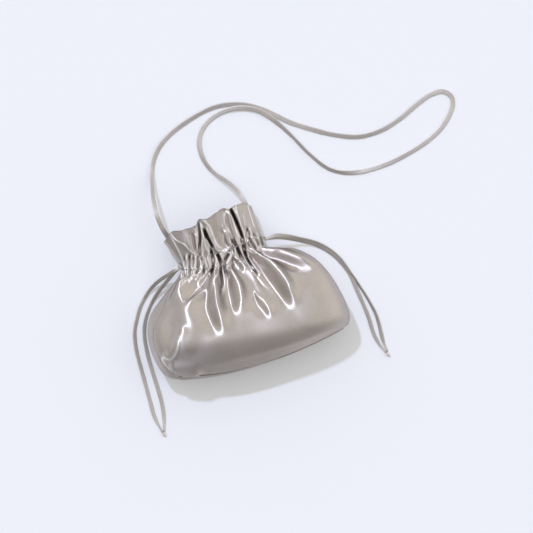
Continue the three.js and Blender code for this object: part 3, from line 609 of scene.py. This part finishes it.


# Between and below the gathers the cloth is pressed into thin ridges, with a painted highlight along their
# tops. The last two rows are the edges of the frill's side hems.
ridge_columns = ("width", "height", "line")
front_ridges = [
    (0.9, 0.6, [(-53, 93), (-50, 82), (-41, 74), (-36, 64), (-31, 57)]),
    (0.8, 0.6, [(-22, 89), (-21, 79), (-25, 68), (-30, 60)]),
    (0.9, 0.7, [(-10, 95), (-12, 83), (-15, 72), (-17, 57), (-19, 52)]),
    (1.2, 0.9, [(-9, 95), (-4, 87), (-3, 73), (-1, 57), (4, 52)]),
    (1.2, 0.9, [(26, 92), (20, 89), (17, 82), (17, 74), (19, 65), (19, 57)]),
    (1.2, 1, [(26, 92), (28.5, 85), (27.5, 70), (26.5, 57), (28, 48)]),
    (0.9, 0.7, [(10, 68), (13, 73), (16, 66), (15, 56), (14, 46), (13, 38), (18, 32)]),
    (1, 0.8, [(37, 96), (35, 80), (34, 64), (34, 54), (39, 46), (41, 40)]),
    (0.8, 0.6, [(44, 66), (40, 60), (40, 55), (45, 50), (44, 42), (50, 36)]),
    (0.8, 0.6, [(-43, 59), (-45, 50), (-47, 38)]),
    (0.8, 0.6, [(-38, 57), (-41, 48), (-41, 39)]),
    (0.8, 0.6, [(-32, 54), (-36, 45), (-35, 37)]),
    (0.9, 0.8, [(-22, 64), (-25, 58), (-24, 51), (-28, 40), (-33, 34), (-47, 31), (-59, 23)]),
    (0.9, 0.8, [(-12, 46), (-15, 41), (-20, 35), (-30, 30), (-40, 23), (-41, 16)]),
    (0.9, 0.8, [(-8, 54), (-8, 45), (-9, 33), (-13, 24), (-21, 17), (-26, 9)]),
    (1, 0.8, [(-2, 51), (8, 46), (10, 40), (4, 35), (-1, 30), (4, 20), (6, 10), (7, -3)]),
    (0.8, 0.7, [(11, 34), (12, 27), (17, 18), (21, 22), (19, 28), (15, 33)]),
    (0.9, 0.8, [(22, 34), (25, 26), (33, 18), (38, 12), (33, 8), (35, -1), (41, -13)]),
    (0.9, 0.8, [(27, 44), (36, 36), (47, 27), (57, 11)]),
    (0.8, 0.6, [(30, 56), (32, 52), (34, 44), (39, 36)]),
    (1.4, 0.9, [(-86, -38), (-89, -43), (-95, -49), (-103, -53), (-111, -49), (-115, -52), (-112, -62)]),
    (0.7, 0.5, [(-54, 94), (-53, 85), (-50, 68), (-48, 53)]),
    (0.7, 0.5, [(52, 92), (51, 78), (50, 64)]),
]
leaf_taper = 0.28
lip_height = 0.32
# How strong the painted shade is in a fold's wall and beside its valley, and the painted highlight on lips
# and ridge tops.
wall_painted_shade, valley_painted_shade = 0.12, 0.6
crest_shine, ridge_shine = 0.55, 0.85
# Where the lips, their painted highlight and the painted shade of the valley lie beside a fold's line, and
# how wide they are.
lips_at, lip_highlight_at, valley_at = (2.5, 1.8), (2.2, 0.9), (1.55, 0.42)
# The depths and heights in millimetres at which a fold's painted shade and painted highlight start and are
# full.
groove_depths, lip_highlight_depths = (1.2, 3.8), (0.6, 2.6)
wall_heights, valley_heights = (1.8, 5.8), (3, 4.6)


def beside(line, room, x, y):
    """Which places lie within some room of a line, how far left of it and at which share of its way."""
    line = smooth_line(line, 1.0)
    along = unit(np.gradient(line, axis=0))
    near = (x > line[:, 0].min() - room) & (x < line[:, 0].max() + room)
    near &= (y > line[:, 1].min() - room) & (y < line[:, 1].max() + room)
    offset = np.stack([x[near], y[near]], axis=-1)[:, None] - line[None]
    nearest = np.argmin(np.sum(offset ** 2, axis=-1), axis=1)
    offset = offset[np.arange(len(nearest)), nearest]
    forward = np.sum(along[nearest] * offset, axis=1)
    share = (nearest + np.clip(forward, -1, 1)) / (len(line) - 1)
    side = along[nearest, 0] * offset[:, 1] - along[nearest, 1] * offset[:, 0]
    return near, side, share


def both_sides(wave, place, spread):
    """A lip on each side of a fold's line, the right one lower."""
    return bell(wave, place, spread) + 0.6 * bell(wave, -place, spread)


def crease_lift(creases, x, y):
    """How far the folds and ridges lift or sink the cloth at places seen from above, and two marks: one for
    the painted shade in the folds and one for the painted highlight along lips and ridge tops."""
    lift = np.zeros(x.shape)
    marks = {"PaintedFoldShade": np.zeros(x.shape), "PaintedCrestHighlight": np.zeros(x.shape)}
    for row in creases:
        fold = dict(zip(crease_columns, row))
        height, depth = fold["height"], fold["depth"]
        near, side, share = beside(fold["line"], 4 * fold["width"], x, y)
        taper = fold["neck"] + (1 - fold["neck"]) * eased(0, 0.5, share)
        wave = side / (fold["width"] * taper * (1 - leaf_taper * eased(0.6, 1.0, share)))
        fade = eased(-0.04, 0.14, share) * (1 - eased(fold["fade"], 1.04, share))
        lips = lip_height * max(depth, 0) * both_sides(wave, *lips_at)
        wall = height * wave * np.exp(0.5 - 0.5 * wave ** 2)
        lift[near] += fade * (wall - depth * np.exp(-wave ** 2) + lips)
        # Painted shade: the colour is darkened deep in a groove, on a tall wall and in the valley beside it.
        groove_dark = ramp(*groove_depths, depth) * np.exp(-((wave + 0.15) * 1.15) ** 4)
        wall_dark = wall_painted_shade * ramp(*wall_heights, height) * np.exp(-(wave * 0.9) ** 4)
        valley_dark = valley_painted_shade * ramp(*valley_heights, height)
        valley_dark = valley_dark * bell(wave, *valley_at) * (1 - eased(0.45, 0.95, share))
        dark = np.maximum(np.maximum(groove_dark, wall_dark), valley_dark)
        # Painted highlight: the colour is lightened on the lips of a deep groove.
        bright = crest_shine * ramp(*lip_highlight_depths, depth) * both_sides(wave, *lip_highlight_at)
        for mark, value in (("PaintedFoldShade", dark), ("PaintedCrestHighlight", bright)):
            marks[mark][near] = np.maximum(marks[mark][near], fade * value)
    for row in front_ridges:
        ridge = dict(zip(ridge_columns, row))
        near, side, share = beside(ridge["line"], 4 * ridge["width"], x, y)
        top = eased(-0.1, 0.1, share) * eased(1.1, 0.85, share) * bell(side, 0, ridge["width"])
        lift[near] += ridge["height"] * top
        # Painted highlight along the ridge's top, where the painted shade is taken away.
        marks["PaintedCrestHighlight"][near] = np.maximum(marks["PaintedCrestHighlight"][near], ridge_shine * top)
        marks["PaintedFoldShade"][near] *= 1 - top
    return lift, marks


# The frill's ruffles are valleys that grow towards the rim: where each starts and ends across the neck, half
# of its width and its depth, in millimetres.
ruffle_columns = ("x", "rim_x", "width", "depth")
front_ruffles = [
    (-42, -47, 7.5, 1), (-24, -20, 6, 2.2), (-6.6, -11, 5, 2.6),
    (10, 11, 8, 0.8), (29, 30, 6, 2.6), (47, 49, 6, 1),
]
back_ruffles = [
    (-36, -38.5, 5.5, 6), (-16.5, -18.7, 5.5, 7.4), (3.3, 2.2, 5.5, 6.6), (22, 24, 5.5, 7.4),
    (40.7, 44, 5, 5.2),
]
# Places across the neck and how far the rim runs up or down there, in millimetres.
rim_rise = [
    (-63.8, 0), (-50.6, 5.06), (-34.1, -0.92), (-20.9, -3.68), (-12.1, 2.07), (-1.65, -1.38), (11, 1.38),
    (19.8, 3.91), (29.15, 0.69), (36.3, 3.22), (46.75, 4.14), (55, -0.46),
]


def ruffle_depth(ruffles, x, station):
    """How far the ruffles sink the frill."""
    share = ramp(upper_stitch, rim, station)
    depth = 0.0
    for row in ruffles:
        ruffle = dict(zip(ruffle_columns, row))
        centre = ruffle["x"] + (ruffle["rim_x"] - ruffle["x"]) * share
        depth = depth + ruffle["depth"] * eased(0, 0.75, share) * bell(x, centre, ruffle["width"])
    return depth


def rim_lift(x, station):
    """How far the frill reaches further or less far at its rim."""
    at, rise = np.array(rim_rise).T
    first = np.clip(np.searchsorted(at, x) - 1, 0, len(at) - 2)
    lifted = rise[first] + (rise[first + 1] - rise[first]) * eased(at[first], at[first + 1], x)
    return lifted * eased(rim - 1, rim, station)


gather_count = 12
gather_seed = 9
gather_start, gather_full = 6.4, 8.6


def gathers(share, station):
    """Gathers where the drawstrings pull the cloth together: full ridges with narrow creases between."""
    drift = np.random.default_rng(gather_seed).uniform(0, 2 * math.pi, 3)
    spread = share * gather_count
    for amount, waves, start in zip((0.28, 0.12), (5.3, 23), drift):
        spread = spread + amount * np.sin(waves * share + start)
    crease = 1 - np.abs(np.sin(math.pi * spread)) ** 0.7
    fine = 0.5 - 0.5 * np.cos(2 * math.pi * (2.7 * spread + 0.2 * np.sin(station * 4)))
    reach = eased(gather_start, gather_full, station) * (1 - 0.85 * eased(upper_stitch, rim, station))
    tight = bell(station, lower_stitch, 0.35) + bell(station, upper_stitch, 0.3)
    depth = gather_depth * reach * (0.8 * crease + 0.25 * fine * (0.4 + tight))
    return depth + 0.5 * tight * reach


seam_room = 0.3
hole_room = 7.2


def seam_line(side, station, room):
    """Where a side seam runs round the section, and how far the cloth's edge stays back from it. The seam
    is open where the drawstrings come out, lower in the casing at the left than at the right."""
    lift = np.radians(section_value("seam", station))
    angle = math.pi - lift if side == "left" else -0.3 * lift
    around = smooth_point(angle + small_step, station) - smooth_point(angle - small_step, station)
    up = station - lower_stitch
    share = up if side == "left" else 1 - up
    hole = np.clip(np.minimum(share / 0.08, (0.92 - share) / 0.42), 0, 1)
    slit = eased(upper_stitch, upper_stitch + 1, station)
    gap = room + slit + hole_room * hole
    return angle, gap / 2 / (np.linalg.norm(around, axis=-1) / (2 * small_step))


def column_shares(start, end, count):
    """Shares of the way round a panel at which its columns lie, spaced evenly round the neck."""
    samples = 800
    angle = np.linspace(start, end, samples)
    places = smooth_point(angle, np.full(samples, lower_stitch + 0.5))
    reach = np.concatenate([[0.0], np.cumsum(np.linalg.norm(np.diff(places, axis=0), axis=1))])
    return np.interp(np.linspace(0, reach[-1], count), reach, np.linspace(0, 1, samples))


def panel_grids(panel, columns, stations):
    """A panel's outer face and its inner face as rows of points, and its marks."""
    front = panel == "front"
    shares = column_shares(math.pi, 0 if front else 2 * math.pi, columns)[None, :]
    station = np.asarray(stations)[:, None] + 0 * shares
    left, left_back = seam_line("left", station, seam_room)
    right, right_back = seam_line("right", station, seam_room)
    start = left - left_back if front else left + left_back
    end = right + right_back if front else right - right_back + 2 * math.pi
    angle = start + (end - start) * shares
    even = np.linspace(0, 1, columns)[None, :] + 0 * station
    calm = eased(0, 0.05, even) * eased(0, 0.05, 1 - even)
    place = smooth_point(angle, station)
    ruffles = ruffle_depth(front_ruffles if front else back_ruffles, place[..., 0], station)
    inset = calm * (ruffles if front else ruffles + gathers(even, station))
    normal = outward(angle, station, inset)
    lift, marks = 0 * station, {}
    if front:
        lift, marks = crease_lift(front_creases, place[..., 0], place[..., 1])
        lift = lift * eased(0, 0.6, station)
    grids = []
    for wall in (0 * station, section_value("wall", station)):
        points = smooth_point(angle, station, inset) + normal * (calm * lift - wall)[..., None]
        points[..., 1] += rim_lift(place[..., 0], station) * (1.0 if front else 0.4)
        points[..., 2] = np.maximum(points[..., 2], wall)
        grids.append(points)
    return *grids, marks


def shell_object(
    name, outer, inner, closed, material, thread_turn, marks=None, capped=False, threads=(0, 1)
):
    """A cloth wall between two grids of points, with rounded edges, as one closed mesh. Its first row closes
    on a middle point where it is capped. The threads run over two of the three axes."""
    rows, columns = outer.shape[:2]
    f = np.arange(rows * columns).reshape(rows, columns)
    if closed:
        f = np.pad(f, ((0, 0), (0, 1)), mode="wrap")
    s = f + rows * columns
    points = [outer.reshape(-1, 3), inner.reshape(-1, 3)]
    faces = [grid_faces(f), grid_faces(s)[:, [0, 3, 2, 1]]]
    edges = [(f[-1], s[-1], outer[-1] - outer[-2])]
    if not capped:
        edges.append((f[0][::-1], s[0][::-1], outer[0] - outer[1]))
    if not closed:
        edges.append((f[:, 0], s[:, 0], outer[:, 0] - outer[:, 1]))
        edges.append((f[:, -1][::-1], s[:, -1][::-1], outer[:, -1] - outer[:, -2]))
    start = 2 * rows * columns
    everything = np.vstack(points)
    for a, b, push in edges:
        low, high = (everything[ids[:-1] if closed else ids] for ids in (a, b))
        middle = (low + high) / 2
        width = np.linalg.norm(low - high, axis=1, keepdims=True)
        direction = unit(push[::-1] if np.any(a != np.sort(a)) else push)
        middle = middle + direction * np.minimum(width * 0.3, 0.4)
        points.append(middle)
        made = np.arange(start, start + len(middle))
        start += len(middle)
        loop = np.concatenate([made, made[:1]]) if closed else made
        faces.append(grid_faces(np.stack([a, loop, b]))[:, ::-1])
    if capped:
        points.append(np.stack([outer[0].mean(axis=0), inner[0].mean(axis=0)]))
        faces.append([(b, a, start) for a, b in zip(f[0][:-1], f[0][1:])])
        faces.append([(a, b, start + 1) for a, b in zip(s[0][:-1], s[0][1:])])
    everything = np.vstack(points)
    u, v = everything[:, list(threads)].T
    cosine, sine = math.cos(math.radians(thread_turn)), math.sin(math.radians(thread_turn))
    uv = np.column_stack([u * cosine + v * sine, v * cosine - u * sine]) * 0.001
    rest = np.zeros(len(everything) - 2 * rows * columns)
    marks = {mark: np.concatenate([*2 * [grid.ravel()], rest]) for mark, grid in (marks or {}).items()}
    return cloth_object(name, everything, faces, uv, material, marks)


shell_satin = satin("shell_satin", (0.56, 0.505, 0.475), (0.475, 0.428, 0.40), 0.41, 0.86, 0.25, 0.8)
thread_turn = -16.0
cloth_spans = [(0, 2, 30), (2, 6, 42), (6, 9, 42), (9, 10, 14)]
cloth_rows = [np.linspace(*span, endpoint=False) for span in cloth_spans]
cloth_rows = np.concatenate([*cloth_rows, np.linspace(upper_stitch, rim, 32)])
front_outer, front_inner, front_marks = panel_grids("front", 300, cloth_rows)
front = shell_object("front_cloth", front_outer, front_inner, False, shell_satin, thread_turn, front_marks)
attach(front, "root")
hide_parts("front_panel")

# The back panel: the lower cloth, the same cut as the front, flattened where the pouch lies on it.
back_outer, back_inner, _ = panel_grids("back", 220, cloth_rows[::2])
back = shell_object("back_cloth", back_outer, back_inner, False, shell_satin, thread_turn)
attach(back, "root")
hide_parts("back_panel")

# The base panel: the long oval of cloth that closes the pouch at its bottom, sewn to both panels.
base_rings = np.concatenate([np.linspace(0, 0.3, 16, endpoint=False), np.linspace(0.3, 0.985, 24)])
base_angle = np.linspace(0, 2 * math.pi, 240, endpoint=False)
base_gap = 0.9
base_bulge = 1.5
base_centre = np.array([body_width * 0.02, base_seam_y - base_bulge, body_depth * 0.42])


def base_grid(wall):
    """The base from its seam to its middle, as rings of points."""
    angle = base_angle[None, :] + 0 * base_rings[:, None]
    ring = base_rings[:, None] + 0 * angle
    zero = np.zeros_like(angle)
    edge = smooth_point(angle, zero) - outward(angle, zero) * wall
    points = edge + (base_centre - edge) * ring[..., None]
    dome_share = 1 - (1 - ring) ** 2
    points[..., 1] = edge[..., 1] + (base_centre[1] - edge[..., 1]) * dome_share - base_gap * (1 - ring)
    points[..., 1] += np.where(ring > 0, wall, 0)
    points[..., 2] = np.maximum(points[..., 2], wall)
    return points


base_outer, base_inner = base_grid(0.0)[::-1], base_grid(body_wall)[::-1]
base = shell_object("base_cloth", base_outer, base_inner, True, shell_satin, 0.0, None, True, (0, 2))
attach(base, "root")
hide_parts("base_panel")

# The casing band: a strip of the same cloth, wrong side out, stitched round inside the neck along both
# edges. It makes the channel that the drawstrings run in.
band_wall = 1.0
band_seat = 6.25
channel_depth = 3.5
ripple_height, ripple_count = 0.35, 26
band_stations = np.linspace(lower_stitch, upper_stitch, 30)[:, None]
band_angle = np.linspace(2 * math.pi, 0, 220, endpoint=False)[None, :]


def band_grid(wall):
    """The strip's face that lies a wall further in than its seat, as rings of points."""
    station = band_stations + 0 * band_angle
    angle = band_angle + 0 * station
    drawn_in = eased(0, 0.05, station - lower_stitch) * eased(0, 0.05, upper_stitch - station)
    ripple = ripple_height * (1 - np.cos(ripple_count * angle + 1.5 * np.sin(3 * angle)))
    return smooth_point(angle, station, band_seat + drawn_in * (channel_depth + ripple) + wall)


inside_satin = satin("inside_satin", (0.46, 0.42, 0.39), (0.40, 0.365, 0.34), 0.55, 0.4, 0.25, 0.6)
band = shell_object("casing_strip", band_grid(0.0), band_grid(band_wall), True, inside_satin, thread_turn)
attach(band, "root")
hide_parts("casing_band")

# The drawstrings' hidden runs: each tape goes in at its own side, once round the neck inside the channel and
# out again beside itself, one above the other.
run_lanes = {"left": 0.28, "right": 0.72}
run_turn = 0.30
run_out = 1.5
run_gap = 0.3
run_inset = band_seat + 1.5 * run_gap + cord_thickness / 2


def run_route(side):
    """The places along one hidden run."""
    station = lower_stitch + run_lanes[side]
    out = -1 if side == "left" else 1
    turn = math.pi if side == "left" else 0.0
    hole = smooth_point(seam_line(side, station, 0)[0], station)
    lift = cord_thickness / 2 + run_gap
    away = np.linspace(run_turn, 2 * math.pi - run_turn, 31)
    round_neck = smooth_point(turn + out * away, station + 0 * away, run_inset)
    way_in = [hole + [out * reach, 0, lift] for reach in (run_out, -body_wall)]
    way_out = [hole + [out * reach, 0, -lift] for reach in (-body_wall, run_out)]
    return np.vstack([way_in, round_neck, way_out])


for side in run_lanes:
    run, _ = tape_object(
        side + "_run_tape", run_route(side), cord_width, cord_thickness, [(0, 0), (1, 0)], tape_satin,
        width_axis=(0.0, 1.0, 0.0),
    )
    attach(run, "root")
    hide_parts(side + "_drawstring_run")

# The stitching: rows of short lockstitches in matching thread, two round the casing, one round the base seam
# and one down each side hem of the frill.
thread_paint = bpy.data.materials.new("thread_paint")
thread_tree = new_tree(thread_paint)
thread_place = thread_tree.node("ShaderNodeTexCoord", out=3)
ply = thread_tree.node("ShaderNodeTexNoise", {}, {"Vector": thread_place, "Scale": 2400.0, "Detail": 1.0})
thread_tone = ply.mixed((0.30, 0.27, 0.25), (0.46, 0.42, 0.39))
ply_bump = thread_tree.node("ShaderNodeBump", {}, {"Strength": 0.4, "Distance": 0.00005, "Height": ply})
thread_look = thread_tree.node(
    "ShaderNodeBsdfPrincipled", {}, {"Base Color": thread_tone, "Roughness": 0.5, "Normal": ply_bump}
)
thread_tree.node("ShaderNodeOutputMaterial", {}, {"Surface": thread_look})
stitch_sizes = {"Step": 0.0026, "Length": 0.0019, "Thread": 0.00042}


def stitch_tree():
    """Nodes that lay a stitch at even steps along lines: a small bead of thread, longer than wide."""
    group = bpy.data.node_groups.new("stitch_row", "GeometryNodeTree")
    group.interface.new_socket("Lines", in_out="INPUT", socket_type="NodeSocketGeometry")
    for size, value in stitch_sizes.items():
        made = group.interface.new_socket(size, in_out="INPUT", socket_type="NodeSocketFloat")
        made.default_value = value
    group.interface.new_socket("Stitches", in_out="OUTPUT", socket_type="NodeSocketGeometry")
    tree = Term(group, None)
    given = group.nodes.new("NodeGroupInput")
    lines, step, length, thread = (Term(group, given.outputs[i]) for i in range(4))
    curves = tree.node("GeometryNodeMeshToCurve", {}, {"Mesh": lines})
    spaced = tree.node("GeometryNodeResampleCurve", {"mode": "LENGTH"}, {"Curve": curves, "Length": step})
    points = tree.node("GeometryNodeCurveToPoints", {"mode": "EVALUATED"}, {"Curve": spaced})
    turned = Term(group, points.socket.node.outputs["Rotation"])
    bead = tree.node("GeometryNodeMeshUVSphere", {}, {"Segments": 6, "Rings": 5, "Radius": 0.5})
    size = tree.node("ShaderNodeCombineXYZ", {}, {"X": thread, "Y": thread, "Z": length})
    stitch = tree.node("GeometryNodeTransform", {}, {"Geometry": bead, "Scale": size})
    at_points = {"Points": points, "Instance": stitch, "Rotation": turned}
    row = tree.node("GeometryNodeInstanceOnPoints", {}, at_points)
    row = tree.node("GeometryNodeRealizeInstances", {}, {"Geometry": row})
    row = tree.node("GeometryNodeSetShadeSmooth", {}, {"Geometry": row})
    row = tree.node("GeometryNodeSetMaterial", {}, {"Geometry": row, "Material": thread_paint})
    tree.node("NodeGroupOutput", {}, {"Stitches": row})
    return group


stitch_nodes = stitch_tree()


def stitched(name, lines):
    """One piece with a row of stitches along each line, in millimetres."""
    mesh = bpy.data.meshes.new(name + "_lines")
    edges, points = [], []
    for line in lines:
        edges += [(i, i + 1) for i in range(len(points), len(points) + len(line) - 1)]
        points += (np.asarray(line) * 0.001).tolist()
    mesh.from_pydata(points, edges, [])
    made = placed(name, mesh)
    rows = made.modifiers.new("rows", "NODES")
    rows.node_group = stitch_nodes
    for socket in stitch_nodes.interface.items_tree:
        if socket.name in stitch_sizes:
            rows[socket.identifier] = stitch_sizes[socket.name]
    evaluated = made.evaluated_get(bpy.context.evaluated_depsgraph_get())
    solid = bpy.data.meshes.new_from_object(evaluated)
    made.modifiers.remove(rows)
    made.data = solid
    return made


casing_lines = []
for outer, stations in ((front_outer, cloth_rows), (back_outer, cloth_rows[::2])):
    for station in (lower_stitch, upper_stitch):
        nearest = np.argmin(np.abs(stations - station))
        casing_lines.append(outer[nearest, 3:-3])
hem_rows = [[(-56, 88), (-54, 70), (-51, 54)], [(54, 88), (53, 74), (52, 62)]]
hem_lines = []
flat_front = front_outer.reshape(-1, 3)
for hem_row in hem_rows:
    plan = smooth_line(hem_row, 1.0)[:, None]
    nearest = np.argmin(np.sum((flat_front[None, :, :2] - plan) ** 2, axis=-1), axis=1)
    hem_lines.append(smooth_line(flat_front[nearest][::6], 1.0))
stitched_ring = 4
base_line = base_grid(0.0)[stitched_ring]
stitching = stitched("seam_stitches", casing_lines + hem_lines + [np.vstack([base_line, base_line[:1]])])
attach(stitching, "root")
